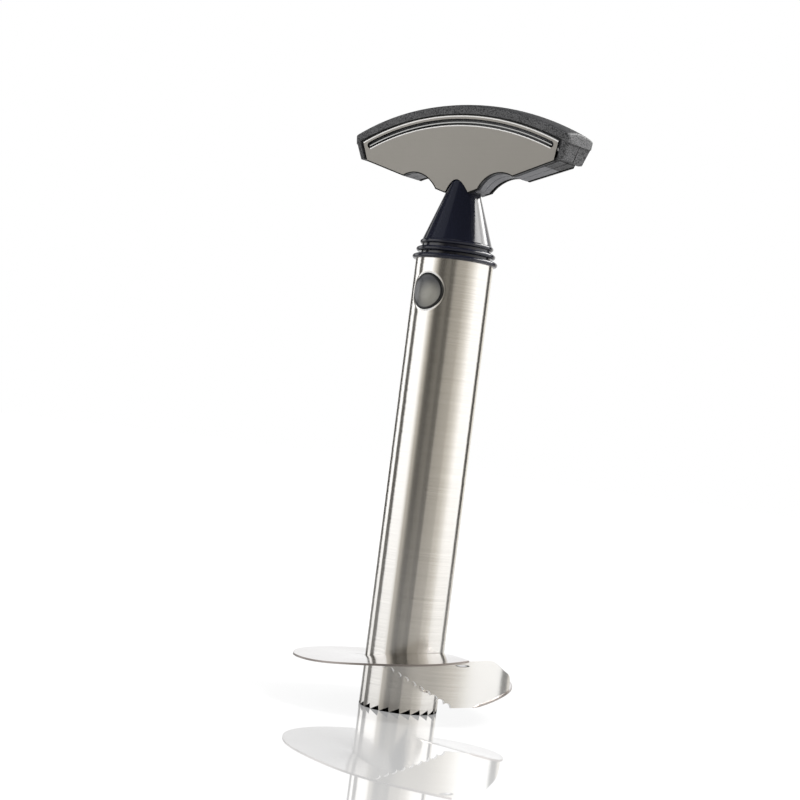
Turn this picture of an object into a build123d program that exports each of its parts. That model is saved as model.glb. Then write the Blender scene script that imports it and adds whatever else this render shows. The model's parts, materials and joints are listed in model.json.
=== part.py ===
from build123d import *

import os
from math import asin, atan, cos, degrees, hypot, pi, radians, sin, sqrt

# A pineapple slicer that stands on its coring teeth. The origin is the centre of
# the toothed foot, +Z runs up the tube, +X along the handle, and -Y is the front.
# Lengths are in millimetres and bearings in degrees, counted from +X towards +Y.

# Cuts run this far past the faces they open
overrun = 5.0

# Coring tube
tube_radius = 16.0
tube_wall = 0.8
tube_length = 182.6
tooth_count = 23
tooth_height = 2.1
tooth_back_share = 0.92
tooth_bearing = -1.2

# Slicing blade, a sheet that winds once round the tube and is wider than its pitch
blade_radius = 45.0
blade_thickness = 0.8
blade_lead_height = 8.9
blade_rise = 17.7
edge_land = 0.2
tip_bearing = 342.3
heel_bearing = 376.0
# Bearing, then the height of the rim and of the root as shares of the rise
blade_station_shares = (
    (-11.0, 0.0, 0.03),
    (-7.5, 0.034, 0.044),
    (8.0, 0.175, 0.10),
    (30.0, 0.305, 0.175),
    (65.0, 0.38, 0.265),
    (105.0, 0.452, 0.362),
    (150.0, 0.475, 0.458),
    (190.0, 0.462, 0.537),
    (225.0, 0.467, 0.593),
    (250.0, 0.51, 0.638),
    (275.0, 0.608, 0.729),
    (300.0, 0.745, 0.819),
    (325.0, 0.88, 0.87),
    (342.0, 1.0, 0.881),
    (360.0, 1.11, 0.887),
    (376.0, 1.2, 0.887),
)

# Cutting skirt, the upright wall on the blade's rim
skirt_wall = 0.9
skirt_step = 0.4
skirt_bearing = 348.0
skirt_start_bearing = 300.0
skirt_start_height = 21.2
skirt_toe_bearing = 335.0
skirt_tail_bearing = 24.5
skirt_toe_height = 8.3
skirt_tail_height = 15.5
skirt_shoulder_height = 22.4
skirt_crest_height = 27.2
skirt_shoulder_bearing = 13.3
skirt_crest_bearing = 355.0
scallop_depth = 1.0
scallop_land = 0.1
scallop_count = 9
tail_drop = 1.5
relief_height = 0.7
relief_sweep = 7.5
relief_bearing = 339.2
relief_drop = 1.05

# Latch housing, the plug inside the tube's mouth
housing_clearance = 0.3
housing_length = 33.0
ferrule_wall = 2.9
ferrule_height = 3.0
ferrule_floor = 1.6
latch_drop = 13.6
rib_thickness = 6.0
chamber_radius = 8.5
chamber_lip_depth = 11.0

# Release buttons and their springs
button_radius = 7.2
button_proud = 0.3
button_edge = 0.4
spring_gap = 0.05
latch_edge_round = 0.35
guide_clearance = 0.06
latch_gap = 0.3
flange_radius = 8.2
flange_thickness = 1.2
flange_gap = 0.1
button_stem_radius = 2.4
button_stem_length = 3.0
spring_radius = 3.6
spring_wire = 0.7
spring_coils = 4.0

# Neck
ring_count = 3
ring_radius = 17.5
ring_step = 1.2
ring_pitch = 3.15
ring_thickness = 2.0
groove_radius = 14.2
cone_radius = 14.35
cone_top_radius = 4.45
cone_height = 28.0
tang_width = 18.0
tang_thickness = 5.0
tang_rise = 5.5
tang_height = 15.0
tang_clearance = 0.1
peg_radius = 4.0
tee_length = 14.0
tee_width = 6.0
tee_height = 2.0
tee_drop = 4.0
tee_clearance = 0.1

# Handle, a wedge that is thinnest at its keel
keel_rise = 26.45
keel_half_thickness = 4.48
face_slope_share = 0.19
keel_slope_share = 0.30
plate_foot_inset = 6.7
plate_shoulder_inset = 4.2
plate_shoulder_rise = 22.55
plate_crown_rise = 32.85
plate_thickness = 0.8
plate_clearance = 0.3
plate_end_gap = 1.6
plate_gap_depth = 1.2
plate_edge = 0.35
shadow_width = 2.5
shadow_depth = 1.2
finger_spacing = 44.8
finger_radius = 13.4
finger_drop = 3.65
trim_inset = 2.9
trim_slot_width = 2.5
trim_slot_depth = 2.0
trim_width = 0.55
trim_shift = 0.2
trim_recess = 0.35
trim_end_inset = 3.7
saddle_half_width = 8.4
saddle_rise = 6.0
neck_clearance = 0.5

# Grip shells round the core, and the spine over both
core_inset = 11.5
roof_thickness = 3.4
spine_seat_rise = 34.15
spine_seat_drop = 12.4
spine_thickness = 4.2
spine_edge_drop = 2.5
spine_overhang = 0.4
spine_round = 1.0
tongue_depth = 2.0
tongue_width = 3.0
end_half_width = 54.5
end_foot_inset = 2.2
end_heel_step = 0.48
end_heel_inset = 5.1
end_corner_round = 1.8
core_end_gap = 0.4
core_wall = 2.4
core_web = 2.4
shell_seam = 0.2
parting_width = 0.3
parting_depth = 0.3
end_seam_width = 0.5
end_seam_depth = 0.6
end_seam_reach = 3.7

# Fasteners
pin_radius = 2.0
pin_spacing = 10.0
pin_rise = 15.5
screw_radius = 1.5
screw_head_radius = 2.4
screw_head_height = 1.8
head_clearance = 0.2
shell_screw_inset = 8.0
shell_screw_lift = 4.65
housing_screw_rise = 5.4
housing_screw_half_length = 9.0

# Heights and radii that follow from the sizes above
tube_bore_radius = tube_radius - tube_wall
housing_radius = tube_bore_radius - housing_clearance
housing_foot = tube_length - housing_length
latch_height = tube_length - latch_drop
guide_radius = button_radius + guide_clearance
keel_height = tube_length + keel_rise
face_lean = degrees(atan(face_slope_share))
cone_base = tube_length + (ring_count - 1) * ring_pitch + ring_thickness
total_height = tube_length + keel_rise + spine_seat_rise + spine_thickness
throat_height = blade_lead_height + blade_rise / 2
plate_foot_half_width = end_half_width - plate_foot_inset
plate_shoulder_half_width = end_half_width - plate_shoulder_inset
trim_half_width = plate_shoulder_half_width - trim_end_inset
core_half_width = end_half_width - core_inset
end_foot_half_width = end_half_width - end_foot_inset
end_heel_half_width = end_half_width - end_heel_inset
shell_screw_half_spacing = end_half_width - shell_screw_inset
shell_screw_rise = keel_slope_share * shell_screw_half_spacing + shell_screw_lift
end_foot_rise = keel_slope_share * end_heel_half_width + end_heel_step
end_seam_rise = end_foot_rise + end_seam_reach
spine_half_width = end_half_width + spine_overhang
spine_seat_radius = (end_half_width**2 + spine_seat_drop**2) / (2 * spine_seat_drop)


def radial_plane(bearing: float) -> Plane:
    """Upright plane through the axis, with its x axis along a bearing."""
    turn = radians(bearing)
    return Plane(
        origin=(0, 0, 0),
        x_dir=(cos(turn), sin(turn), 0),
        z_dir=(sin(turn), -cos(turn), 0),
    )


def tangent_plane(bearing: float) -> Plane:
    """Upright plane through the axis that faces outwards along a bearing."""
    turn = radians(bearing)
    return Plane(
        origin=(0, 0, 0),
        x_dir=(-sin(turn), cos(turn), 0),
        z_dir=(cos(turn), sin(turn), 0),
    )


def face_plane(side: int, inset: float) -> Plane:
    """Outward plane of the handle's leaning face, moved in by an inset."""
    lean = radians(face_lean)
    plane = Plane(
        origin=(0, side * keel_half_thickness, keel_height),
        x_dir=(1, 0, 0),
        z_dir=(0, side * cos(lean), -sin(lean)),
    )
    return plane.offset(-inset)


def press_plane(side: int) -> Plane:
    """Plane across a button's axis, through the tube's axis, facing outwards."""
    return Plane(origin=(0, 0, latch_height), x_dir=(1, 0, 0), z_dir=(0, side, 0))


def rim_height(station: tuple) -> float:
    """Middle of the sheet at the rim, at one station."""
    return blade_lead_height + station[1] * blade_rise


def root_height(station: tuple) -> float:
    """Middle of the sheet at the tube, at one station."""
    return blade_lead_height + station[2] * blade_rise


def sheet_section(station: tuple, thickness: float) -> Sketch:
    """Cross-section of the blade's sheet, a little longer than the blade is wide."""
    slope = (rim_height(station) - root_height(station)) / (blade_radius - tube_radius)
    inner = tube_radius - tube_wall
    outer = blade_radius + overrun
    low = root_height(station) - slope * tube_wall
    high = rim_height(station) + slope * overrun
    half = thickness / 2
    with BuildSketch(radial_plane(station[0])) as section:
        with BuildLine():
            Polyline(
                (inner, low - half),
                (outer, high - half),
                (outer, high + half),
                (inner, low + half),
                close=True,
            )
        make_face()
    return section.sketch


def rim_underside(bearing: float) -> float:
    """Underside of the sheet at the rim, straight between two stations."""
    pairs = zip(blade_station_shares, blade_station_shares[1:])
    start, end = next(pair for pair in pairs if bearing <= pair[1][0])
    share = (bearing - start[0]) / (end[0] - start[0])
    middle = rim_height(start) + share * (rim_height(end) - rim_height(start))
    return middle - blade_thickness / 2


def rim_point(bearing: float, height: float) -> tuple:
    """A point of the skirt's outline, seen square to the middle of the skirt."""
    return (blade_radius * sin(radians(bearing - skirt_bearing)), height)


def plate_outline(widen: float, grow: float) -> Sketch:
    """Outline of a face plate, looking along Y, with wider ends and a margin."""
    keel = (0, keel_height)
    foot = (plate_foot_half_width + widen, keel_line(plate_foot_half_width + widen))
    shoulder = (plate_shoulder_half_width + widen, keel_height + plate_shoulder_rise)
    crown = (0, keel_height + plate_crown_rise)
    with BuildSketch() as outline:
        with BuildLine():
            Polyline((-shoulder[0], shoulder[1]), (-foot[0], foot[1]), keel, foot, shoulder)
            ThreePointArc(shoulder, crown, (-shoulder[0], shoulder[1]))
        make_face()
        if grow:
            offset(amount=grow, kind=Kind.INTERSECTION)
        with Locations(*finger_centres()):
            Circle(finger_radius - grow, mode=Mode.SUBTRACT)
    return outline.sketch


def plate_shadow(side: int) -> Part:
    """Rebate behind a plate's edge, which leaves a dark line round the plate."""
    with BuildSketch() as margin:
        add(plate_outline(0, 0))
        add(plate_outline(0, -shadow_width), mode=Mode.SUBTRACT)
    return under_face(margin.sketch, side, plate_thickness, shadow_depth)


def plate_gap(side: int) -> Part:
    """Groove round a plate in the shells, deepest at the plate's ends."""
    with BuildSketch() as margin:
        add(plate_outline(plate_end_gap - plate_clearance, plate_clearance))
        add(plate_outline(0, 0), mode=Mode.SUBTRACT)
    return under_face(margin.sketch, side, plate_thickness, plate_gap_depth)


def trim_groove(side: int) -> Part:
    """Cut through a plate and into the moulding behind it, for the trim strip."""
    slot = trim_slot(trim_slot_width, trim_inset)
    return under_face(slot, side, -overrun, overrun + trim_slot_depth)


def saddle(side: int) -> Part:
    """Half of the neck's saddle, which fills the tip of the wedge between the plates."""
    with BuildSketch() as tip_outline:
        add(core_outline(core_half_width, 0))
        with Locations((0, keel_height)):
            Rectangle(2 * saddle_half_width, 2 * saddle_rise, mode=Mode.INTERSECT)
    return under_face(tip_outline.sketch, side, plate_thickness, 0)


def core_outline(half_width: float, grow: float) -> Sketch:
    """Outline of the handle's core, looking along Y, grown by a margin."""
    radius = spine_seat_radius - roof_thickness + grow
    side = half_width + grow
    drop = grow * hypot(1, keel_slope_share)
    shoulder = (side, arc_height(radius, side))
    foot = (side, keel_line(side) - drop)
    with BuildSketch() as outline:
        with BuildLine():
            Polyline(
                (-shoulder[0], shoulder[1]),
                (-foot[0], foot[1]),
                (0, keel_height - drop),
                foot,
                shoulder,
            )
            ThreePointArc(shoulder, (0, arc_height(radius, 0)), (-shoulder[0], shoulder[1]))
        make_face()
        with Locations(*finger_centres()):
            Circle(finger_radius - grow, mode=Mode.SUBTRACT)
    return outline.sketch


def shell_outline() -> Sketch:
    """Outline of a grip shell, looking along Y, with the core's room left out."""
    corner = (end_half_width, arc_height(spine_seat_radius, end_half_width))
    foot = (end_foot_half_width, keel_height + end_foot_rise)
    heel = (end_heel_half_width, keel_line(end_heel_half_width))
    with BuildSketch() as outline:
        with BuildLine():
            Polyline(
                (-corner[0], corner[1]),
                (-foot[0], foot[1]),
                (-heel[0], foot[1]),
                (-heel[0], heel[1]),
                (0, keel_height),
                heel,
                (heel[0], foot[1]),
                foot,
                corner,
            )
            ThreePointArc(
                corner,
                (0, arc_height(spine_seat_radius, 0)),
                (-corner[0], corner[1]),
            )
        make_face()
        with Locations(*finger_centres()):
            Circle(finger_radius, mode=Mode.SUBTRACT)
        add(core_outline(core_half_width, 0), mode=Mode.SUBTRACT)
    return outline.sketch


def end_seam() -> Sketch:
    """Band along the foot of both end blocks, where the shells' seam opens."""
    corner = (end_half_width, arc_height(spine_seat_radius, end_half_width))
    foot = (end_foot_half_width, keel_height + end_foot_rise)
    share = (keel_height + end_seam_rise - foot[1]) / (corner[1] - foot[1])
    path = [
        (core_half_width, keel_line(core_half_width)),
        (end_heel_half_width, keel_line(end_heel_half_width)),
        (end_heel_half_width, foot[1]),
        foot,
        (foot[0] + share * (corner[0] - foot[0]), keel_height + end_seam_rise),
    ]
    inner = [(point[0] - end_seam_depth, point[1] + end_seam_depth) for point in path]
    with BuildSketch() as seam:
        with BuildLine():
            Polyline(*path, *reversed(inner), close=True)
        make_face()
        mirror(about=Plane.YZ)
    return seam.sketch


def trim_slot(width: float, inset: float) -> Sketch:
    """Curved slot that follows the plate's upper edge."""
    radius = plate_arc_radius() - inset
    centre = keel_height + plate_crown_rise - plate_arc_radius()
    sweep = degrees(asin(trim_half_width / radius))
    arc = CenterArc((0, centre), radius, 90 - sweep, 2 * sweep)
    with BuildSketch() as slot:
        SlotArc(arc, width)
    return slot.sketch


def spine_ring(inner: float, outer: float, crown: float, half_width: float) -> Part:
    """Whole ring of a spine's section, about the axis of the handle's upper arc."""
    middle = spine_centre()
    with BuildPart() as ring:
        with BuildSketch(Plane.YZ):
            with BuildLine():
                Polyline(
                    (-half_width, middle + outer),
                    (-half_width, middle + inner),
                    (half_width, middle + inner),
                    (half_width, middle + outer),
                )
                ThreePointArc(
                    (half_width, middle + outer),
                    (0, middle + crown),
                    (-half_width, middle + outer),
                )
            make_face()
        revolve(axis=Axis((0, 0, middle), (0, 1, 0)))
    return ring.part


def finger_centres() -> list:
    """Centres of the two finger hollows under the grip."""
    height = keel_height - finger_drop
    return [(-finger_spacing / 2, height), (finger_spacing / 2, height)]


def spine_centre() -> float:
    """Height of the axis that the spine and its seat are turned about."""
    return keel_height + spine_seat_rise - spine_seat_radius


def arc_height(radius: float, half_width: float) -> float:
    """Height of an arc about the spine's axis, at a distance from the middle."""
    return spine_centre() + sqrt(radius**2 - half_width**2)


def keel_line(half_width: float) -> float:
    """Height of the handle's sloping underside, at a distance from the middle."""
    return keel_height + keel_slope_share * half_width


def under_face(outline: Sketch, side: int, inset: float, depth: float) -> Part:
    """Slab of an upright outline between two insets of one leaning face.

    A depth of zero carries the slab in to the upright plane through the axis.
    """
    with BuildPart() as slab:
        with BuildSketch(Plane.XZ):
            add(outline)
        extrude(amount=-side * blade_radius)
        split(bisect_by=face_plane(side, inset), keep=Keep.BOTTOM)
        if depth:
            split(bisect_by=face_plane(side, inset + depth), keep=Keep.TOP)
    return slab.part


def plate_arc_radius() -> float:
    """Radius of the plate's upper edge, from its crown and shoulders."""
    sag = plate_crown_rise - plate_shoulder_rise
    return (plate_shoulder_half_width**2 + sag**2) / (2 * sag)


def neck_cone(grow: float) -> Part:
    """The neck's cone, grown by a margin all round."""
    with BuildPart() as cone:
        with BuildSketch(Plane.XY.offset(cone_base)):
            Circle(cone_radius + grow)
        with BuildSketch(Plane.XY.offset(cone_base + cone_height)):
            Circle(cone_top_radius + grow)
        loft()
    return cone.part


def neck_tang(grow: float) -> Part:
    """The flat tang that carries the turning force, grown by a margin."""
    with BuildPart() as tang:
        with BuildSketch(Plane.XZ):
            with Locations((0, keel_height + tang_rise + tang_height / 2)):
                RectangleRounded(tang_width + 2 * grow, tang_height + 2 * grow, pin_radius)
        extrude(amount=tang_thickness / 2 + grow, both=True)
    return tang.part


def neck_tee(grow: float) -> Part:
    """The peg and its tee under the neck, grown by a margin."""
    tee_foot = tube_length - tee_drop - grow
    with BuildPart() as tee:
        with BuildSketch(Plane.XY.offset(tee_foot)):
            Rectangle(tee_width + 2 * grow, tee_length + 2 * grow)
        extrude(amount=tee_height + 2 * grow)
        with BuildSketch(Plane.XY.offset(tee_foot)):
            Circle(peg_radius + grow)
        extrude(amount=tee_drop + grow)
    return tee.part


def housing_screw() -> Part:
    """The pan-head screw that draws the housing's halves together."""
    height = housing_foot + housing_screw_rise
    seat = Plane.YZ.offset(housing_screw_half_length)
    with BuildPart() as screw:
        with BuildSketch(seat):
            with Locations((0, height)):
                Circle(screw_head_radius)
        extrude(amount=screw_head_height)
        with BuildSketch(seat):
            with Locations((0, height)):
                Circle(screw_radius)
        extrude(amount=-2 * housing_screw_half_length)
    return screw.part


def spine_tongue() -> Part:
    """The rib under the spine that sits in the shells' groove."""
    with BuildPart() as tongue:
        with BuildSketch(Plane.XZ):
            with Locations((0, spine_centre())):
                Circle(spine_seat_radius)
                Circle(spine_seat_radius - tongue_depth, mode=Mode.SUBTRACT)
        extrude(amount=tongue_width / 2, both=True)
        with Locations((0, 0, spine_centre())):
            Box(
                2 * core_half_width,
                tube_radius,
                2 * spine_seat_radius,
                align=(Align.CENTER, Align.CENTER, Align.MIN),
                mode=Mode.INTERSECT,
            )
    return tongue.part


def shell_screw_places() -> list:
    """Where the shell screws stand, looking along Y."""
    height = keel_height + shell_screw_rise
    return [(-shell_screw_half_spacing, height), (shell_screw_half_spacing, height)]


def shell_screw_seat() -> float:
    """Depth of the shell screws' seats in front of the middle plane."""
    foot_rise = shell_screw_rise - screw_head_radius
    face = keel_half_thickness + face_slope_share * foot_rise
    return face - plate_thickness - 2 * screw_head_height


def shell_screw_set() -> Part:
    """The two countersunk screws that join the grip shells behind the plates."""
    seat = shell_screw_seat()
    with BuildPart() as screws:
        with BuildSketch(Plane.XZ.offset(seat)):
            with Locations(*shell_screw_places()):
                Circle(screw_head_radius)
        extrude(amount=screw_head_height)
        with BuildSketch(Plane.XZ.offset(seat)):
            with Locations(*shell_screw_places()):
                Circle(screw_radius)
        extrude(amount=-2 * seat - screw_head_height)
    return screws.part


def neck_pin_set() -> Part:
    """The two pins that hold the tang in the handle's core."""
    length = keel_half_thickness + face_slope_share * (pin_rise - pin_radius) - plate_thickness
    with BuildPart() as pins:
        with BuildSketch(Plane.XZ):
            with Locations((0, keel_height + pin_rise)):
                with GridLocations(pin_spacing, 0, 2, 1):
                    Circle(pin_radius)
        extrude(amount=length, both=True)
    return pins.part


os.makedirs("parts", exist_ok=True)
finished = []


def finish(piece: Part, label: str) -> None:
    """Name a finished piece and write it."""
    piece.label = label
    export_step(piece, f"parts/{label}.step")
    finished.append(piece)


# Coring tube with its ring of saw teeth and the two latch holes
tooth_pitch = tube_radius * sin(2 * pi / tooth_count)
with BuildPart() as tooth_gap:
    with BuildSketch(tangent_plane(0)):
        with BuildLine():
            Polyline(
                (0, 0),
                (tooth_back_share * tooth_pitch, tooth_height),
                (tooth_pitch, 0),
                (tooth_pitch, -overrun),
                (0, -overrun),
                close=True,
            )
        make_face()
    extrude(amount=tube_radius + overrun)

with BuildPart() as coring_tube:
    with BuildSketch():
        Circle(tube_radius)
        Circle(tube_bore_radius, mode=Mode.SUBTRACT)
    extrude(amount=tube_length)
    with PolarLocations(0, tooth_count, start_angle=tooth_bearing):
        add(tooth_gap.part, mode=Mode.SUBTRACT)
    with BuildSketch(Plane.XZ):
        with Locations((0, latch_height)):
            Circle(button_radius + latch_gap)
    extrude(amount=tube_radius + overrun, both=True, mode=Mode.SUBTRACT)
    hole_edges = coring_tube.edges().filter_by_position(
        Axis.Z,
        latch_height - button_radius,
        latch_height + button_radius,
    )
    fillet(hole_edges.sort_by(SortBy.LENGTH)[-2:], latch_edge_round)
finish(coring_tube.part, "coring_tube")

# Slicing blade, lofted through its stations and trimmed to the tube and the rim.
# Its leading edge is ground thin, and its trailing edge runs from the heel at the
# tube to the tip at the rim.
edge_station = blade_station_shares[0]
full_station = blade_station_shares[1]
heel = (
    tube_radius * cos(radians(heel_bearing)),
    tube_radius * sin(radians(heel_bearing)),
)
tip = (
    blade_radius * cos(radians(tip_bearing)),
    blade_radius * sin(radians(tip_bearing)),
)
with BuildPart() as ground_edge:
    add(sheet_section(edge_station, edge_land))
    add(sheet_section(full_station, blade_thickness))
    loft(ruled=True)

with BuildPart() as spiral_blade:
    for station in blade_station_shares[1:]:
        add(sheet_section(station, blade_thickness))
    loft()
    add(ground_edge.part)
    Cylinder(
        blade_radius,
        total_height,
        align=(Align.CENTER, Align.CENTER, Align.MIN),
        mode=Mode.INTERSECT,
    )
    Cylinder(
        tube_radius,
        total_height,
        align=(Align.CENTER, Align.CENTER, Align.MIN),
        mode=Mode.SUBTRACT,
    )
    with BuildSketch(Plane.XY.offset(throat_height)):
        with BuildLine():
            Polyline(
                (2 * heel[0] - tip[0], 2 * heel[1] - tip[1]),
                (2 * tip[0] - heel[0], 2 * tip[1] - heel[1]),
                (2 * blade_radius, blade_radius),
                (0, blade_radius),
                close=True,
            )
        make_face()
    extrude(amount=blade_rise, mode=Mode.SUBTRACT)
finish(spiral_blade.part, "spiral_blade")

# Cutting skirt. Its upright wall hangs from the rim of the upper turn, stands on
# the rim of the lower turn, and is toothed along the edge that leads.
skirt_radius = blade_radius - skirt_step
toe_sweep = radians(skirt_toe_bearing - skirt_start_bearing) * skirt_radius
toe_fall = skirt_start_height - skirt_toe_height
toe_length = hypot(toe_sweep, toe_fall)
scallop_chord = toe_length / scallop_count - scallop_land
scallop_radius = (scallop_chord**2 / 4 + scallop_depth**2) / (2 * scallop_depth)
scallop_offset = scallop_radius - scallop_depth
with BuildPart() as cutting_skirt:
    with BuildSketch(tangent_plane(skirt_bearing)):
        with BuildLine():
            middle_bearing = (skirt_start_bearing + skirt_toe_bearing) / 2
            middle_height = (skirt_start_height + skirt_toe_height) / 2
            start = rim_point(skirt_start_bearing, skirt_start_height)
            toe = rim_point(skirt_toe_bearing, skirt_toe_height)
            seat = rim_point(edge_station[0], rim_height(edge_station))
            step = rim_point(blade_station_shares[2][0], rim_height(blade_station_shares[2]))
            tail = rim_point(skirt_tail_bearing, skirt_tail_height - tail_drop)
            heel_point = rim_point(skirt_tail_bearing, skirt_tail_height)
            shoulder = rim_point(skirt_shoulder_bearing, skirt_shoulder_height)
            crest = rim_point(skirt_crest_bearing, skirt_crest_height)
            upper_end = rim_point(tip_bearing, rim_height(blade_station_shares[-3]))
            upper_middle = rim_point(
                blade_station_shares[-4][0],
                rim_height(blade_station_shares[-4]),
            )
            upper_start = rim_point(
                blade_station_shares[-5][0],
                rim_height(blade_station_shares[-5]),
            )
            ThreePointArc(start, rim_point(middle_bearing, middle_height), toe)
            Polyline(toe, seat, step, tail, heel_point)
            Spline(heel_point, shoulder, crest, tangents=((0, 1), (-1, 0)))
            Polyline(crest, upper_end, upper_middle, upper_start, start)
        make_face()
    extrude(amount=blade_radius + overrun)
    with BuildSketch():
        Circle(skirt_radius)
        Circle(skirt_radius - skirt_wall, mode=Mode.SUBTRACT)
    extrude(amount=total_height, mode=Mode.INTERSECT)
    for index in range(scallop_count):
        share = (index + 1 / 2) / scallop_count
        shift = degrees(scallop_offset * toe_fall / toe_length / skirt_radius)
        bearing = skirt_start_bearing + share * (skirt_toe_bearing - skirt_start_bearing) - shift
        height = skirt_start_height - share * toe_fall - scallop_offset * toe_sweep / toe_length
        with BuildSketch(tangent_plane(bearing)):
            with Locations((0, height)):
                Circle(scallop_radius)
        extrude(amount=blade_radius + overrun, mode=Mode.SUBTRACT)
    with BuildSketch(tangent_plane(relief_bearing)):
        relief_half_length = skirt_radius * radians(relief_sweep) / 2
        relief_level = rim_underside(relief_bearing) - relief_drop
        with BuildLine():
            ThreePointArc(
                (-relief_half_length, relief_level),
                (0, relief_level + relief_height / 2),
                (relief_half_length, relief_level),
            )
            ThreePointArc(
                (relief_half_length, relief_level),
                (0, relief_level - relief_height / 2),
                (-relief_half_length, relief_level),
            )
        make_face()
    extrude(amount=blade_radius + overrun, mode=Mode.SUBTRACT)
    add(spiral_blade.part, mode=Mode.SUBTRACT)
skirt = cutting_skirt.part.solids().sort_by(SortBy.VOLUME)[-1]
finish(Part() + skirt, "cutting_skirt")

# Neck, with its three lips, the cone, the tang in the handle and the peg and tee
# in the housing
with BuildPart() as neck:
    with BuildSketch(Plane.XZ):
        with Locations((0, tube_length)):
            Rectangle(groove_radius, cone_base - tube_length, align=(Align.MIN, Align.MIN))
        for index in range(ring_count):
            lip_radius = ring_radius - index * ring_step - ring_thickness / 2
            with Locations((0, tube_length + index * ring_pitch)):
                Rectangle(lip_radius, ring_thickness, align=(Align.MIN, Align.MIN))
            with Locations((lip_radius, tube_length + index * ring_pitch + ring_thickness / 2)):
                Circle(ring_thickness / 2)
    revolve(axis=Axis.Z)
    add(neck_cone(0))
    add(neck_tang(0))
    add(neck_tee(0))
    for side in (-1, 1):
        add(saddle(side))
    add(neck_pin_set(), mode=Mode.SUBTRACT)
finish(neck.part, "neck")

# Latch housing, two moulded halves that meet on the plane across the handle
for label, keep in (("left_latch_housing", Keep.BOTTOM), ("right_latch_housing", Keep.TOP)):
    with BuildPart() as housing:
        with BuildSketch(Plane.XY.offset(housing_foot)):
            Circle(housing_radius)
        extrude(amount=housing_length)
        with BuildSketch(Plane.XY.offset(housing_foot)):
            Circle(housing_radius - ferrule_wall)
        extrude(amount=-ferrule_height)
        for side in (-1, 1):
            with BuildSketch(press_plane(side).offset(rib_thickness / 2)):
                Circle(guide_radius)
            extrude(amount=tube_radius + overrun, mode=Mode.SUBTRACT)
            with BuildSketch(press_plane(side).offset(rib_thickness / 2)):
                Circle(chamber_radius)
            extrude(amount=chamber_lip_depth - rib_thickness / 2, mode=Mode.SUBTRACT)
        add(neck_tee(tee_clearance), mode=Mode.SUBTRACT)
        add(housing_screw(), mode=Mode.SUBTRACT)
        with BuildSketch(Plane.YZ.offset(housing_screw_half_length)):
            with Locations((0, housing_foot + housing_screw_rise)):
                Circle(screw_head_radius + head_clearance)
        extrude(amount=tube_radius + overrun, mode=Mode.SUBTRACT)
        split(bisect_by=Plane.YZ, keep=keep)
    finish(housing.part, label)

# Cap that closes the housing's foot and clasps its halves
with BuildPart() as housing_end_cap:
    with BuildSketch(Plane.XY.offset(housing_foot)):
        Circle(housing_radius)
    extrude(amount=-ferrule_height - ferrule_floor)
    with BuildSketch(Plane.XY.offset(housing_foot)):
        Circle(housing_radius - ferrule_wall)
    extrude(amount=-ferrule_height, mode=Mode.SUBTRACT)
finish(housing_end_cap.part, "housing_end_cap")
finish(housing_screw(), "housing_screw")

# Release buttons, each with a flange behind the chamber's lip and a stem in its
# spring
flange_face = chamber_lip_depth - flange_gap
spring_reach = flange_face - flange_thickness
for label, side in (("front_button", -1), ("rear_button", 1)):
    with BuildPart() as button:
        with BuildSketch(press_plane(side).offset(spring_reach)):
            Circle(button_radius)
        extrude(amount=tube_radius + overrun)
        Cylinder(tube_radius + button_proud, 2 * total_height, mode=Mode.INTERSECT)
        fillet(button.faces().sort_by(Axis((0, 0, 0), (0, side, 0)))[-1].edges(), button_edge)
        with BuildSketch(press_plane(side).offset(spring_reach)):
            Circle(flange_radius)
        extrude(amount=flange_thickness)
        with BuildSketch(press_plane(side).offset(spring_reach)):
            Circle(button_stem_radius)
        extrude(amount=-button_stem_length)
    finish(button.part, label)
    spring_start = rib_thickness / 2 + spring_wire / 2
    spring_end = spring_reach - spring_wire / 2 - spring_gap
    coil_height = spring_end - spring_start
    coil = Helix(
        pitch=coil_height / spring_coils,
        height=coil_height,
        radius=spring_radius,
        center=(0, side * spring_start, latch_height),
        direction=(0, side, 0),
    )
    with BuildPart() as spring:
        with BuildSketch(Plane(origin=coil @ 0, z_dir=coil % 0)):
            Circle(spring_wire / 2)
        sweep(path=coil, is_frenet=True)
    finish(spring.part, f"{label}_spring")

# Handle core, the smooth wedge between the plates, hollowed from both faces
core_reach = core_half_width - core_end_gap
with BuildPart() as handle_core:
    for side in (-1, 1):
        add(under_face(core_outline(core_reach, 0), side, plate_thickness, 0))
    for side in (-1, 1):
        with BuildSketch(Plane.XZ.offset(-side * core_web / 2)):
            add(core_outline(core_reach, -core_wall))
            with Locations((0, keel_height)):
                Rectangle(
                    tang_width + 2 * core_wall,
                    2 * plate_crown_rise,
                    mode=Mode.SUBTRACT,
                )
        extrude(amount=-side * (tube_radius + overrun), mode=Mode.SUBTRACT)
    with BuildSketch(Plane.XZ):
        add(core_outline(core_reach, 0))
        add(core_outline(core_reach, -parting_depth), mode=Mode.SUBTRACT)
    extrude(amount=parting_width / 2, both=True, mode=Mode.SUBTRACT)
    for side in (-1, 1):
        add(plate_shadow(side), mode=Mode.SUBTRACT)
        add(trim_groove(side), mode=Mode.SUBTRACT)
        add(saddle(side), mode=Mode.SUBTRACT)
    add(neck_cone(0), mode=Mode.SUBTRACT)
    add(neck_tang(tang_clearance), mode=Mode.SUBTRACT)
    add(neck_pin_set(), mode=Mode.SUBTRACT)
finish(handle_core.part, "handle_core")
finish(neck_pin_set(), "neck_pins")

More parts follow.
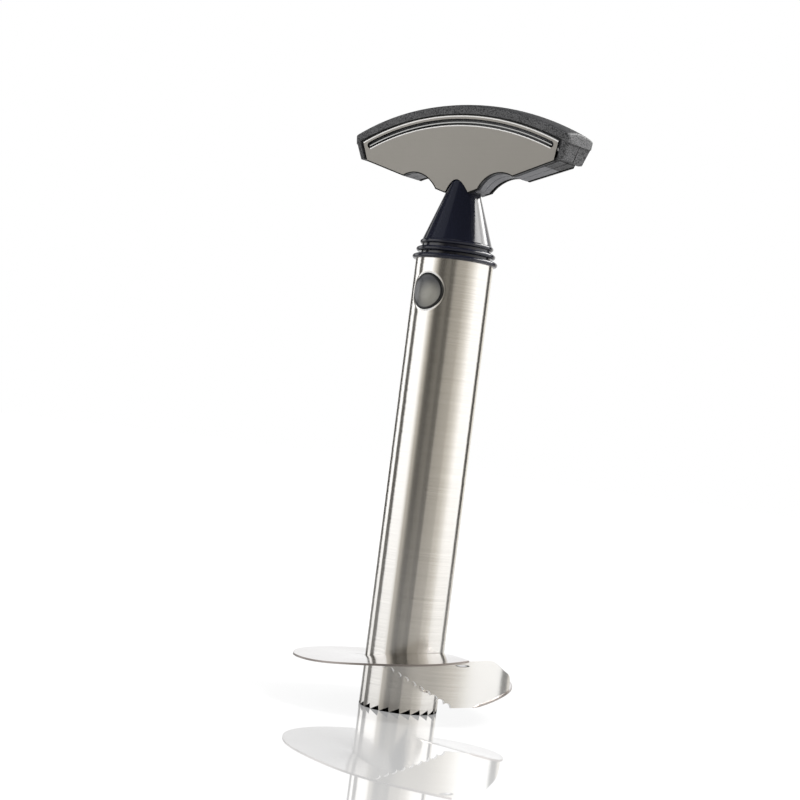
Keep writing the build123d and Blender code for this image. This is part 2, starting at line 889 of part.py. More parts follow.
# Grip shells, moulded halves with a roof over the core and a block at each end
for label, side, keep in (
    ("front_grip_shell", -1, Keep.TOP),
    ("rear_grip_shell", 1, Keep.BOTTOM),
):
    plate_room = under_face(
        plate_outline(plate_end_gap - plate_clearance, plate_clearance),
        side,
        -overrun,
        plate_thickness + overrun,
    )
    with BuildPart() as shell:
        add(under_face(shell_outline(), side, 0, 0))
        split(bisect_by=Plane.XZ.offset(-side * shell_seam / 2), keep=keep)
        for end in (-1, 1):
            reach = sorted((end * end_foot_half_width, end * end_half_width))
            wall_edges = shell.edges().filter_by_position(Axis.X, *reach)
            face_edge = wall_edges.sort_by(Axis((0, 0, 0), (0, side, 0)))[-1]
            fillet(face_edge, end_corner_round)
        add(plate_room, mode=Mode.SUBTRACT)
        add(plate_gap(side), mode=Mode.SUBTRACT)
        add(plate_shadow(side), mode=Mode.SUBTRACT)
        add(trim_groove(side), mode=Mode.SUBTRACT)
        with BuildSketch(Plane.XZ):
            add(end_seam())
        extrude(amount=end_seam_width / 2, both=True, mode=Mode.SUBTRACT)
        add(spine_tongue(), mode=Mode.SUBTRACT)
        add(shell_screw_set(), mode=Mode.SUBTRACT)
        if side < 0:
            with BuildSketch(Plane.XZ.offset(shell_screw_seat())):
                with Locations(*shell_screw_places()):
                    Circle(screw_head_radius + head_clearance)
            extrude(amount=tube_radius, mode=Mode.SUBTRACT)
    finish(shell.part, label)
finish(shell_screw_set(), "shell_screws")

# Spine, the crowned strip over both shells
crown_radius = spine_seat_radius + spine_thickness
edge_radius = crown_radius - spine_edge_drop
spine_half_depth = keel_half_thickness + face_slope_share * (spine_seat_rise + 2 * spine_thickness)
with BuildPart() as top_spine:
    add(spine_ring(spine_seat_radius, edge_radius, crown_radius, spine_half_depth))
    with Locations((0, 0, spine_centre())):
        Box(
            2 * spine_half_width,
            2 * spine_half_width,
            2 * spine_seat_radius,
            align=(Align.CENTER, Align.CENTER, Align.MIN),
            mode=Mode.INTERSECT,
        )
    for side in (-1, 1):
        split(bisect_by=face_plane(side, 0), keep=Keep.BOTTOM)
    corner_edges = top_spine.edges().filter_by(
        lambda edge: abs(edge.center().X) > end_half_width
        and abs(edge.center().Y) > end_corner_round
    )
    fillet(corner_edges, end_corner_round)
    fillet(top_spine.faces().sort_by(Axis.Z)[-1].edges(), spine_round)
    add(spine_tongue())
finish(top_spine.part, "top_spine")

# Face plates, each with a curved slot that shows a bright strip
for side_name, side in (("front", -1), ("rear", 1)):
    with BuildPart() as plate:
        add(under_face(plate_outline(0, 0), side, 0, plate_thickness))
        add(trim_groove(side), mode=Mode.SUBTRACT)
        face = plate.faces().sort_by(Axis((0, 0, 0), (0, side, 0)))[-1]
        chamfer(face.edges(), plate_edge)
        add(neck_cone(neck_clearance), mode=Mode.SUBTRACT)
    finish(plate.part, f"{side_name}_face_plate")
    with BuildPart() as strip:
        strip_slot = trim_slot(trim_width, trim_inset + trim_shift)
        add(under_face(strip_slot, side, trim_recess, trim_slot_depth - trim_recess))
    finish(strip.part, f"{side_name}_trim_strip")
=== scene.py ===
"""Pineapple slicer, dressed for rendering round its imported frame."""

import json
import logging
import math
from dataclasses import dataclass
from enum import Enum

import bmesh
import bpy
from mathutils import Matrix, Vector

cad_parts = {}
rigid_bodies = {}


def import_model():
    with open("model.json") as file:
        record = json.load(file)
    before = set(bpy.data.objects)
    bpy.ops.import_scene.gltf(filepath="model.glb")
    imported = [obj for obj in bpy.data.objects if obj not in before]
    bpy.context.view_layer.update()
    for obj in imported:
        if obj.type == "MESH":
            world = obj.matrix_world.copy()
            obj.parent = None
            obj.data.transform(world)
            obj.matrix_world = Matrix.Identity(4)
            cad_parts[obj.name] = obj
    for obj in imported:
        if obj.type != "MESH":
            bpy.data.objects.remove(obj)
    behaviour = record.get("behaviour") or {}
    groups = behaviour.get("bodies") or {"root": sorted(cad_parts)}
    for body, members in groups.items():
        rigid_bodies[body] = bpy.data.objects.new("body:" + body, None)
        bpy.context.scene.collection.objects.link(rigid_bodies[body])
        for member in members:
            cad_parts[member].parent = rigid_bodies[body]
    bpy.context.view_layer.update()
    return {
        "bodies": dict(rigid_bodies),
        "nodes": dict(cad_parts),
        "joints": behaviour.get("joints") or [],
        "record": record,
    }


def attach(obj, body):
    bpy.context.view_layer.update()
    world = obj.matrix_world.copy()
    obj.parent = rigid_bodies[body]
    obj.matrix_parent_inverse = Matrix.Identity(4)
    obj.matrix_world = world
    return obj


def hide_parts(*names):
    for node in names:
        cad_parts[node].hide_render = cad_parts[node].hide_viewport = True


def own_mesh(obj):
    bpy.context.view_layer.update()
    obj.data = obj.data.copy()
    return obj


LOG = logging.getLogger("pineapple_slicer")

Colour = tuple[float, float, float]
Range = tuple[float, float]
Stops = tuple[tuple[float, Colour], ...]

WHITE = (1.0, 1.0, 1.0, 1.0)
UP = Vector((0.0, 0.0, 1.0))

# The middle of the studio, in metres, and the width of a card's facets in degrees
STUDIO_CENTRE = Vector((0.0, 0.0, 0.12))
CARD_STEP = 6.0

# Share of a card's warmth that its green loses with its blue
GREEN_WARMTH_SHARE = 0.35

# The middle of what a noise gives, and a quarter of a turn for a Principled shader
NOISE_MIDDLE = 0.5
QUARTER_TURN = 0.25

# Brightness of the bright card at shares of its width, from the camera's side
BRIGHT_SHARES = (
    (0.0, 0.03),
    (0.05, 0.4),
    (0.25, 0.6),
    (0.38, 0.6),
    (0.5, 0.3),
    (0.6, 0.6),
    (0.75, 0.8),
    (1.0, 0.4),
)

# Brightness of the studio's drum at shares of the way round, from behind the tool's
# left side, past the camera, to behind its right side
DRUM_SHARES = (
    (0.002, 0.04),
    (0.062, 0.04),
    (0.066, 1.00),
    (0.125, 1.00),
    (0.130, 0.06),
    (0.176, 0.06),
    (0.182, 1.00),
    (0.296, 1.00),
    (0.321, 0.66),
    (0.346, 0.36),
    (0.373, 0.10),
    (0.405, 0.07),
    (0.432, 0.11),
    (0.457, 0.15),
    (0.484, 0.09),
    (0.507, 0.12),
    (0.527, 0.27),
    (0.551, 0.31),
    (0.585, 0.33),
    (0.613, 0.36),
    (0.640, 0.46),
    (0.680, 0.62),
    (0.714, 0.80),
    (0.750, 0.95),
    (0.883, 0.97),
    (0.891, 0.05),
    (0.945, 0.05),
    (0.949, 0.66),
    (0.998, 0.66),
)


def scaled(colour: Colour, factor: float) -> Colour:
    """A colour made brighter or darker by a factor."""
    return tuple(factor * part for part in colour)


def direction(bearing: float, rise: float) -> Vector:
    """Way to a point of the studio, as a vector of length 1.

    Args:
        bearing: Its bearing in degrees, from +X towards +Y.
        rise: Its elevation in degrees.

    Returns:
        The vector.
    """
    turn, lift = math.radians(bearing), math.radians(rise)
    return Vector(
        (math.cos(turn) * math.cos(lift), math.sin(turn) * math.cos(lift), math.sin(lift))
    )


def finished_mesh(form: bmesh.types.BMesh, name: str) -> bpy.types.Mesh:
    """Turn a bmesh into a mesh and free it.

    Args:
        form: The bmesh.
        name: The mesh's name.

    Returns:
        The mesh.
    """
    mesh = bpy.data.meshes.new(name)
    form.to_mesh(mesh)
    form.free()
    return mesh


def add_object(name: str, data: bpy.types.ID) -> bpy.types.Object:
    """Put a new object into the scene.

    Args:
        name: The object's name.
        data: The mesh, lamp or camera that it shows.

    Returns:
        The object.
    """
    item = bpy.data.objects.new(name, data)
    bpy.context.scene.collection.objects.link(item)
    return item


class Shade:
    """A shader socket that takes part in arithmetic by adding Math nodes."""

    def __init__(self, recipe: "Recipe", socket: bpy.types.NodeSocket) -> None:
        """Wrap one output socket of a recipe's node tree."""
        self.recipe = recipe
        self.socket = socket

    def _maths(self, operation: str, *operands: "Shade | float") -> "Shade":
        """Add one Math node.

        Args:
            operation: The Math node's operation.
            operands: Its inputs in order, sockets or numbers.

        Returns:
            The node's output.
        """
        inputs = dict(enumerate(operands))
        return self.recipe.add("ShaderNodeMath", {"operation": operation}, inputs)

    def __add__(self, other: "Shade | float") -> "Shade":
        """Sum of two values."""
        return self._maths("ADD", self, other)

    def __radd__(self, other: float) -> "Shade":
        """Sum of a number and this value."""
        return self._maths("ADD", other, self)

    def __sub__(self, other: "Shade | float") -> "Shade":
        """Difference of two values."""
        return self._maths("SUBTRACT", self, other)

    def __rsub__(self, other: float) -> "Shade":
        """A number less this value."""
        return self._maths("SUBTRACT", other, self)

    def __mul__(self, other: "Shade | float") -> "Shade":
        """Product of two values."""
        return self._maths("MULTIPLY", self, other)

    def __rmul__(self, other: float) -> "Shade":
        """Product of a number and this value."""
        return self._maths("MULTIPLY", other, self)

    def __truediv__(self, other: "Shade | float") -> "Shade":
        """Quotient of two values."""
        return self._maths("DIVIDE", self, other)

    def __rtruediv__(self, other: float) -> "Shade":
        """A number divided by this value."""
        return self._maths("DIVIDE", other, self)

    def __pow__(self, other: float) -> "Shade":
        """This value raised to a power."""
        return self._maths("POWER", self, other)

    def __abs__(self) -> "Shade":
        """This value without its sign."""
        return self._maths("ABSOLUTE", self)

    def arctan2(self, other: "Shade") -> "Shade":
        """Angle of the point (other, self), in radians."""
        return self._maths("ARCTAN2", self, other)

    def hypot(self, other: "Shade") -> "Shade":
        """Distance of the point (self, other) from zero."""
        return (self * self + other * other) ** 0.5

    def fraction(self) -> "Shade":
        """What is left of this value after its whole part."""
        return self._maths("FRACT", self)

    def smaller(self, other: "Shade | float") -> "Shade":
        """The smaller of two values."""
        return self._maths("MINIMUM", self, other)

    def larger(self, other: "Shade | float") -> "Shade":
        """The larger of two values."""
        return self._maths("MAXIMUM", self, other)

    def smooth(self, low: float, high: float) -> "Shade":
        """Smooth step from 0 at low to 1 at high.

        Args:
            low: Where the step starts.
            high: Where it ends.

        Returns:
            The step.
        """
        settings = {"interpolation_type": "SMOOTHSTEP"}
        inputs = {"Value": self, "From Min": low, "From Max": high}
        return self.recipe.add("ShaderNodeMapRange", settings, inputs)

    def step(self, place: float, blur: float) -> "Shade":
        """Step from 0 to 1 at a place, blurred by a distance to each side."""
        return self.smooth(place - blur, place + blur)


class TreeKind(Enum):
    """What a node tree belongs to, with the type of its output node."""

    MATERIAL = "ShaderNodeOutputMaterial"
    WORLD = "ShaderNodeOutputWorld"


class Recipe:
    """A node tree of a material or a world, built node by node."""

    def __init__(self, name: str, kind: TreeKind = TreeKind.MATERIAL) -> None:
        """Start an empty tree.

        Args:
            name: The name of the material or world.
            kind: Which of the two it is.
        """
        library = bpy.data.worlds if kind is TreeKind.WORLD else bpy.data.materials
        self.owner = library.new(name)
        self.owner.use_nodes = True
        self.kind = kind
        self.tree = self.owner.node_tree
        self.tree.nodes.clear()

    def make(self, kind: str, settings: dict, inputs: dict) -> bpy.types.Node:
        """Add a node with its settings first and its inputs after them.

        Args:
            kind: The node's type name.
            settings: Properties by name, and "stops" for a colour ramp.
            inputs: Values or shades by the input's name or number.

        Returns:
            The new node.
        """
        node = self.tree.nodes.new(kind)
        for name, value in settings.items():
            if name == "stops":
                self._set_stops(node, value)
            else:
                setattr(node, name, value)
        for name, value in inputs.items():
            if isinstance(value, Shade):
                self.tree.links.new(value.socket, node.inputs[name])
            else:
                node.inputs[name].default_value = value
        return node

    def add(self, kind: str, settings: dict, inputs: dict, output: int | str = 0) -> Shade:
        """Add a node and give one of its outputs as a shade."""
        return Shade(self, self.make(kind, settings, inputs).outputs[output])

    @staticmethod
    def _set_stops(node: bpy.types.Node, stops: Stops) -> None:
        """Give a colour ramp its stops.

        Args:
            node: The ramp.
            stops: Place and colour of each stop.
        """
        elements = node.color_ramp.elements
        while len(elements) < len(stops):
            elements.new(1.0)
        while len(elements) > len(stops):
            elements.remove(elements[-1])
        for element, (place, colour) in zip(elements, stops):
            element.position = place
            element.color = (*colour, 1.0)

    def place(self) -> Shade:
        """Object coordinates, which are the tool's own, in metres."""
        return self.add("ShaderNodeTexCoord", {}, {}, "Object")

    def facing(self) -> Shade:
        """Direction that the surface faces, in the tool's own axes."""
        return self.add("ShaderNodeTexCoord", {}, {}, "Normal")

    def parts(self, vector: Shade) -> tuple[Shade, Shade, Shade]:
        """The three parts of a vector as separate values."""
        node = self.make("ShaderNodeSeparateXYZ", {}, {0: vector})
        return tuple(Shade(self, output) for output in node.outputs)

    def radius(self) -> Shade:
        """Distance from the tube's axis, in metres."""
        x, y, _ = self.parts(self.place())
        return x.hypot(y)

    def seen_ray(self, glossy: float = 1.0, diffuse: float = 0.0) -> Shade:
        """1 for the camera's rays.

        Args:
            glossy: What the rays of reflections give.
            diffuse: What the rays that gather light give.

        Returns:
            The value for the ray that arrives.
        """
        node = self.make("ShaderNodeLightPath", {}, {})
        sight = Shade(self, node.outputs["Is Camera Ray"])
        sight = sight.larger(Shade(self, node.outputs["Is Transmission Ray"]))
        sight = sight.larger(Shade(self, node.outputs["Is Glossy Ray"]) * glossy)
        return sight.larger(Shade(self, node.outputs["Is Diffuse Ray"]) * diffuse)

    def noise(self, place: Shade, scale: float, detail: float, rough: float) -> Shade:
        """Fractal noise between 0 and 1 at a place."""
        inputs = {"Vector": place, "Scale": scale, "Detail": detail, "Roughness": rough}
        return self.add("ShaderNodeTexNoise", {}, inputs)

    def cloud(self, scale: float, detail: float = 2.0) -> Shade:
        """Noise with as many blobs to a metre as the scale says."""
        return self.noise(self.place(), scale, detail, 0.5)

    def streaks(
        self, grain: tuple[float, float, float], detail: float = 3.0, rough: float = 0.6
    ) -> Shade:
        """Noise that is drawn out into lines.

        Args:
            grain: How many blobs there are to a metre of x, y and z.
            detail: Levels of finer noise.
            rough: How strong the finer levels are.

        Returns:
            The noise, between 0 and 1.
        """
        inputs = {"Vector": self.place(), "Scale": grain}
        return self.noise(self.add("ShaderNodeMapping", {}, inputs), 1.0, detail, rough)

    def blend(self, factor: Shade, first: "Shade | Colour", second: "Shade | Colour") -> Shade:
        """Mix of two colours.

        Args:
            factor: 0 for the first colour and 1 for the second.
            first: A shade or three numbers.
            second: A shade or three numbers.

        Returns:
            The mixed colour.
        """
        ends = [end if isinstance(end, Shade) else (*end, 1.0) for end in (first, second)]
        inputs = {0: factor, 6: ends[0], 7: ends[1]}
        return self.add("ShaderNodeMix", {"data_type": "RGBA"}, inputs, 2)

    def bump(self, height: Shade, distance: float, normal: "Shade | None" = None) -> Shade:
        """Surface direction that a height gives.

        Args:
            height: The height.
            distance: How many metres one unit of it is.
            normal: The direction without it, where that isn't the surface's own.

        Returns:
            The direction.
        """
        inputs = {"Strength": 1.0, "Distance": distance, "Height": height}
        if normal:
            inputs["Normal"] = normal
        return self.add("ShaderNodeBump", {}, inputs)

    def vector(self, operation: str, *operands: Shade, **named: Shade) -> Shade:
        """Result of one Vector Math node."""
        inputs = dict(enumerate(operands)) | named
        return self.add("ShaderNodeVectorMath", {"operation": operation}, inputs)

    def close(self, shader: Shade) -> bpy.types.Material | bpy.types.World:
        """Join the last shader to the output and give the material or world."""
        self.make(self.kind.value, {}, {"Surface": shader})
        return self.owner

    def shader(self, **inputs: "Shade | float | tuple") -> Shade:
        """A Principled shader, its inputs named with underscores."""
        named = {name.replace("_", " "): value for name, value in inputs.items()}
        return self.add("ShaderNodeBsdfPrincipled", {}, named)

    def surface(self, **inputs: "Shade | float | tuple") -> bpy.types.Material:
        """Finish a material with one Principled shader."""
        return self.close(self.shader(**inputs))


@dataclass(frozen=True)
class Details:
    """What a piece of steel shows at each place.

    Args:
        colour: Its colour.
        rough: Its roughness.
        metal: How metallic it is.
        relief: Height of its cuts and dents in metres.
    """

    colour: Shade
    rough: Shade
    metal: Shade | float = 1.0
    relief: Shade | float = 0.0


@dataclass(frozen=True)
class BrushedSteel:
    """Stainless steel with fine lines along one direction.

    Args:
        name: The material's name.
        light: Colour of the bright lines.
        dark: Colour of the dull lines.
        contrast: Heights of the lines where they turn from dull to bright.
        roughness: Middle of the roughness range.
        spread: How far the roughness varies.
        cloud_scale: Larger unevenness, in blobs to a metre.
        grain: Lines to a metre of x, y and z.
        depth: Depth of the lines in metres.
        stretch: How far highlights spread across the lines.
        sway: How far the lines tilt the surface round the tube.
    """

    name: str
    light: Colour = (0.80, 0.78, 0.75)
    dark: Colour = (0.74, 0.72, 0.69)
    contrast: Range = (0.3, 0.7)
    roughness: float = 0.22
    spread: float = 0.08
    cloud_scale: float = 45.0
    grain: tuple[float, float, float] = (25.0, 25.0, 3400.0)
    depth: float = 0.000004
    stretch: float = 0.5
    sway: float = 0.08

    def build(self) -> bpy.types.Material:
        """Make the material.

        Returns:
            The new material.
        """
        recipe = Recipe(self.name)
        lines = recipe.streaks(self.grain)
        cloud = recipe.cloud(self.cloud_scale)
        rough = lines * self.spread + cloud * (self.spread / 2) + (self.roughness - self.spread)
        colour = recipe.blend(lines.smooth(*self.contrast), self.dark, self.light)
        shown = self.details(recipe, colour, rough)
        height = lines * self.depth + shown.relief
        return recipe.surface(
            Base_Color=shown.colour,
            Metallic=shown.metal,
            Roughness=shown.rough,
            Anisotropic=self.stretch,
            Anisotropic_Rotation=QUARTER_TURN,
            Normal=recipe.bump(height, 1.0, normal=self._swayed(recipe, lines)),
        )

    def details(self, recipe: Recipe, colour: Shade, rough: Shade) -> Details:
        """Add what one piece of steel has beside its lines.

        Args:
            recipe: The node tree.
            colour: Colour of the brushed surface.
            rough: Its roughness.

        Returns:
            What the steel shows, details and all.
        """
        return Details(colour, rough)

    def _swayed(self, recipe: Recipe, lines: Shade) -> Shade:
        """Tilt the surface a little round the tube from line to line.

        Args:
            recipe: The node tree.
            lines: Height of the lines.

        Returns:
            The direction that the tilted surface faces.
        """
        x, y, _ = recipe.parts(recipe.place())
        around = recipe.add("ShaderNodeCombineXYZ", {}, {0: 0.0 - y, 1: x})
        around = recipe.vector("NORMALIZE", around)
        tilt = recipe.vector("SCALE", around, Scale=(lines - NOISE_MIDDLE) * self.sway)
        return recipe.vector("NORMALIZE", recipe.vector("ADD", recipe.facing(), tilt))


@dataclass(frozen=True)
class TubeSteel(BrushedSteel):
    """Steel of the coring tube, brushed outside, dull and darkened with painted shade inside, with
    a painted highlight on the rounded lips of its latch holes.

    Args:
        bore_shade: Painted shade that darkens the bore.
        inner_roughness: Roughness of the bore.
        bore: Radius in metres that parts the bore from the outside.
        bore_shade_blur: Blur of that border to each side.
        latch_height: Height of the latch holes' centres.
        latch_radius: Radius of the holes.
        lip: Width of the rounded lip round them.
        lip_drop: How far the lip falls towards its hole.
        polished: Painted highlight on the lip.
    """

    bore_shade: Colour = (0.020, 0.020, 0.021)
    inner_roughness: float = 0.6
    bore: float = 0.0158
    bore_shade_blur: float = 0.0001
    latch_height: float = 0.169
    latch_radius: float = 0.0072
    lip: float = 0.0012
    lip_drop: float = 0.00018
    polished: Colour = (0.95, 0.94, 0.92)

    def details(self, recipe: Recipe, colour: Shade, rough: Shade) -> Details:
        """Make the bore dull and dark with painted shade, and round the edges of the latch holes
        under a painted highlight.

        Args:
            recipe: The node tree.
            colour: Colour of the brushed surface.
            rough: Its roughness.

        Returns:
            What the tube shows.
        """
        # Painted shade darkens the bore, and the lips round the latch holes get a painted
        # highlight.
        outside = recipe.radius().step(self.bore, self.bore_shade_blur)
        x, _, z = recipe.parts(recipe.place())
        reach = x.hypot(z - self.latch_height)
        lip = (1.0 - reach.smooth(self.latch_radius, self.latch_radius + self.lip)) * outside
        colour = recipe.blend(lip, recipe.blend(outside, self.bore_shade, colour), self.polished)
        rough = rough * outside + (1.0 - outside) * self.inner_roughness
        return Details(colour, rough, 1.0, lip * -self.lip_drop)


@dataclass(frozen=True)
class BladeSteel(BrushedSteel):
    """Steel of the spiral sheet, with sheared edges and rim darkened by painted shade, and a dull
    line where it meets the tube.

    Args:
        edge: Painted shade on the sheared edges and the rim.
        edge_roughness: How much rougher they are.
        flat_range: Upright parts of the facing, from those of an edge to those of the sheet.
        weld: Colour of the line at the tube.
        weld_radius: Radius in metres that the line reaches to.
        weld_blur: Blur of its border to each side.
        rim_radius: Radius where the sheet turns into its rim, and the painted shadow line starts.
        rim_blur: Blur of that border to each side.
    """

    edge: Colour = (0.40, 0.36, 0.34)
    edge_roughness: float = 0.25
    flat_range: Range = (0.45, 0.75)
    weld: Colour = (0.30, 0.28, 0.26)
    weld_radius: float = 0.0165
    weld_blur: float = 0.0003
    rim_radius: float = 0.0446
    rim_blur: float = 0.0002

    def details(self, recipe: Recipe, colour: Shade, rough: Shade) -> Details:
        """Darken the edges and the rim with painted shade, and darken the weld line.

        Args:
            recipe: The node tree.
            colour: Colour of the brushed surface.
            rough: Its roughness.

        Returns:
            What the blade shows.
        """
        # Painted shade: edges that face sideways take the dark edge colour.
        _, _, upright = recipe.parts(recipe.facing())
        flat = abs(upright).smooth(*self.flat_range)
        clear = recipe.radius().step(self.weld_radius, self.weld_blur)
        colour = recipe.blend(clear, self.weld, colour)
        # Painted shadow line: the rim beyond this radius takes the dark edge colour.
        rim = recipe.radius().step(self.rim_radius, self.rim_blur)
        colour = recipe.blend(rim, colour, self.edge)
        rough = rough + (1.0 - flat) * self.edge_roughness
        return Details(recipe.blend(flat, self.edge, colour), rough)


@dataclass(frozen=True)
class SkirtSteel(BrushedSteel):
    """Steel of the upright skirt, with a sharpened bevel at each scallop of its cutting edge that
    carries a painted highlight, and painted sheen on its tail.

    Args:
        radius: Radius of the wall's outer face in metres.
        start: Bearing of the cutting edge's upper end, in radians.
        level: Height of the first scallop's centre line there, in metres.
        pitch: Distance from scallop to scallop.
        count: Number of scallops.
        across: How far along the wall the edge runs for each unit of its length.
        bevel: Radius of the circle that a bevel reaches to.
        shift: How far that circle stands along the edge from its scallop.
        lift: How far it stands above it, which makes a crescent.
        slope: Fall of the ground face for each unit of its width.
        row_blur: Blur of the ends of the row of scallops.
        ground_blur: Blur of the border of a bevel's painted highlight.
        bevel_highlight: Painted highlight on the bevels.
        ground_roughness: How much rougher they are.
        bevel_highlight_matt: How much less metallic the painted highlights are, which leaves them
            near white.
        slot_bearing: Bearing of the small slot's painted shadow on the wall, in radians.
        slot_level: Height of its middle in metres.
        slot_half_length: Half of its length.
        slot_half_height: Half of its height.
        slot_range: Where it ends, from all dark to all clear, in squares of its half sizes.
        shadow: Colour of the slot's painted shadow.
        polished: Painted sheen that brightens the tail.
        sheen_start: Bearing where the painted sheen starts, in radians.
        sheen_end: Bearing where it ends.
        sheen_fade: Angle in which it comes in.
        sheen_end_fade: Angle in which it goes out.
    """

    radius: float = 0.0446
    start: float = math.radians(-60.45)
    level: float = 0.02046
    pitch: float = 0.003349
    count: int = 9
    across: float = 0.9038
    bevel: float = 0.00187
    shift: float = 0.00045
    lift: float = 0.00015
    slope: float = 0.8
    row_blur: float = 0.0003
    ground_blur: float = 0.00012
    bevel_highlight: Colour = (0.93, 0.92, 0.90)
    ground_roughness: float = 0.1
    bevel_highlight_matt: float = 0.8
    slot_bearing: float = math.radians(-20.8)
    slot_level: float = 0.0248
    slot_half_length: float = 0.0030
    slot_half_height: float = 0.00045
    slot_range: Range = (0.8, 1.4)
    shadow: Colour = (0.02, 0.02, 0.02)
    polished: Colour = (0.82, 0.81, 0.79)
    sheen_start: float = math.radians(-27.0)
    sheen_end: float = math.radians(15.0)
    sheen_fade: float = math.radians(12.0)
    sheen_end_fade: float = math.radians(4.0)

    def details(self, recipe: Recipe, colour: Shade, rough: Shade) -> Details:
        """Paint sheen on the tail, paint highlights on the bevelled crescents beside the scallops
        and paint the slot's shadow.

        Args:
            recipe: The node tree.
            colour: Colour of the brushed surface.
            rough: Its roughness.

        Returns:
            What the skirt shows.
        """
        x, y, z = recipe.parts(recipe.place())
        bearing = y.arctan2(x)
        # Painted sheen brightens the tail between these bearings.
        sheen = bearing.smooth(self.sheen_start, self.sheen_start + self.sheen_fade)
        sheen *= 1.0 - bearing.smooth(self.sheen_end, self.sheen_end + self.sheen_end_fade)
        colour = recipe.blend(sheen, colour, self.polished)
        # The bevelled crescents get a painted highlight, near white and less metallic.
        cut = self._bevels(bearing, z)
        mask = cut.smooth(0.0, self.ground_blur)
        colour = recipe.blend(mask, colour, self.bevel_highlight)
        # The slot is a painted shadow on the wall.
        colour = recipe.blend(self._beyond_slot_shadow(bearing, z), self.shadow, colour)
        rough = rough + mask * self.ground_roughness
        return Details(colour, rough, 1.0 - mask * self.bevel_highlight_matt, cut * -self.slope)

    def _bevels(self, bearing: Shade, z: Shade) -> Shade:
        """Lay out the bevelled crescents along the slanting row of scallops.

        Args:
            bearing: Bearing of a place in radians.
            z: Its height in metres.

        Returns:
            How far the place is inside a crescent, in metres, and 0 outside.
        """
        along = (bearing - self.start) * self.radius
        drop = z - self.level
        fall = math.sqrt(1.0 - self.across**2)
        run = along * self.across - drop * fall
        rise = along * fall + drop * self.across - self.lift
        cell = (run / self.pitch).fraction() * self.pitch - (self.pitch / 2 + self.shift)
        reach = self.bevel - cell.hypot(rise)
        length = self.count * self.pitch
        inside = run.smooth(0.0, self.row_blur) * (1.0 - run.smooth(length, length + self.row_blur))
        return reach.larger(0.0) * inside

    def _beyond_slot_shadow(self, bearing: Shade, z: Shade) -> Shade:
        """Lay out the painted shadow of the small slot.

        Args:
            bearing: Bearing of a place in radians.
            z: Its height in metres.

        Returns:
            0 in the slot and 1 outside it.
        """
        run = (bearing - self.slot_bearing) * (self.radius / self.slot_half_length)
        rise = (z - self.slot_level) / self.slot_half_height
        return (run * run + rise * rise).smooth(*self.slot_range)


@dataclass(frozen=True)
class GlossPlastic:
    """Hard glossy moulding with the faint waviness that its mould leaves.

    Args:
        name: The material's name.
        colour: Its darker colour.
        brighter: Its brighter colour for each unit of the darker one.
        roughness: Its least roughness.
        spread: How far the roughness varies.
        specular: Strength of its reflections.
        wave: Height of the waves in metres.
        wave_scale: Waves to a metre.
        speck_scale: Specks to a metre, where the gloss varies.
    """

    name: str
    colour: Colour = (0.009, 0.010, 0.019)
    brighter: float = 1.3
    roughness: float = 0.11
    spread: float = 0.05
    specular: float = 0.6
    wave: float = 0.00002
    wave_scale: float = 160.0
    speck_scale: float = 2500.0

    def build(self) -> bpy.types.Material:
        """Make the material.

        Returns:
            The new material.
        """
        recipe = Recipe(self.name)
        swell = recipe.cloud(self.wave_scale)
        speck = recipe.cloud(self.speck_scale)
        return recipe.surface(
            Base_Color=recipe.blend(swell, self.colour, scaled(self.colour, self.brighter)),
            Roughness=speck * self.spread + self.roughness,
            Specular_IOR_Level=self.specular,
            Normal=recipe.bump(swell, self.wave),
        )


@dataclass(frozen=True)
class GrainedPlastic:
    """Moulded plastic with a fine leather-like grain, and painted shade on its top.

    Args:
        name: The material's name.
        colour: Colour in the hollows of the grain.
        crest: Colour on its crests.
        size: Cells of the grain to a metre.
        softness: How far the cells run into each other.
        fine_ratio: How many times finer the pores in the grain are.
        pore_share: Share of the height that the pores make.
        patch_scale: Larger patches to a metre, where hands have worn the grain.
        height_weight: How much the height brightens the colour.
        patch_weight: How much the patches brighten it.
        tint_range: Sums of the two where the colour turns from hollow to crest.
        depth: Depth of the grain in metres.
        roughness: Least roughness.
        spread: How far the roughness varies.
        specular: Strength of its reflections.
        top_shade: Share of its brightness that the top loses to painted shade.
        top_shade_range: Upright parts of the facing, from a side to the top.
        end_range: Sideways parts of the facing, from the top to an end.
    """

    name: str
    colour: Colour = (0.018, 0.018, 0.019)
    crest: Colour = (0.140, 0.140, 0.143)
    size: float = 2100.0
    softness: float = 0.6
    fine_ratio: float = 1.7
    pore_share: float = 0.3
    patch_scale: float = 90.0
    height_weight: float = 0.85
    patch_weight: float = 0.3
    tint_range: Range = (0.35, 0.85)
    depth: float = 0.00012
    roughness: float = 0.42
    spread: float = 0.15
    specular: float = 0.25
    top_shade: float = 0.75
    top_shade_range: Range = (0.25, 0.6)
    end_range: Range = (0.35, 0.6)

    def build(self) -> bpy.types.Material:
        """Make the material.

        Returns:
            The new material.
        """
        recipe = Recipe(self.name)
        side, _, upright = recipe.parts(recipe.facing())
        # Painted shade: surfaces that face up are darkened.
        top = upright.smooth(*self.top_shade_range) * (1.0 - abs(side).smooth(*self.end_range))
        cells = recipe.add(
            "ShaderNodeTexVoronoi",
            {"feature": "SMOOTH_F1"},
            {"Vector": recipe.place(), "Scale": self.size, "Smoothness": self.softness},
        )
        fine = recipe.cloud(self.size * self.fine_ratio)
        patch = recipe.cloud(self.patch_scale)
        height = (1.0 - cells) * (1.0 - self.pore_share) + fine * self.pore_share
        tint = (height * self.height_weight + patch * self.patch_weight).smooth(*self.tint_range)
        tint *= 1.0 - top * self.top_shade
        return recipe.surface(
            Base_Color=recipe.blend(tint, self.colour, self.crest),
            Roughness=fine * self.spread + self.roughness,
            Specular_IOR_Level=self.specular,
            Normal=recipe.bump(height, self.depth),
        )


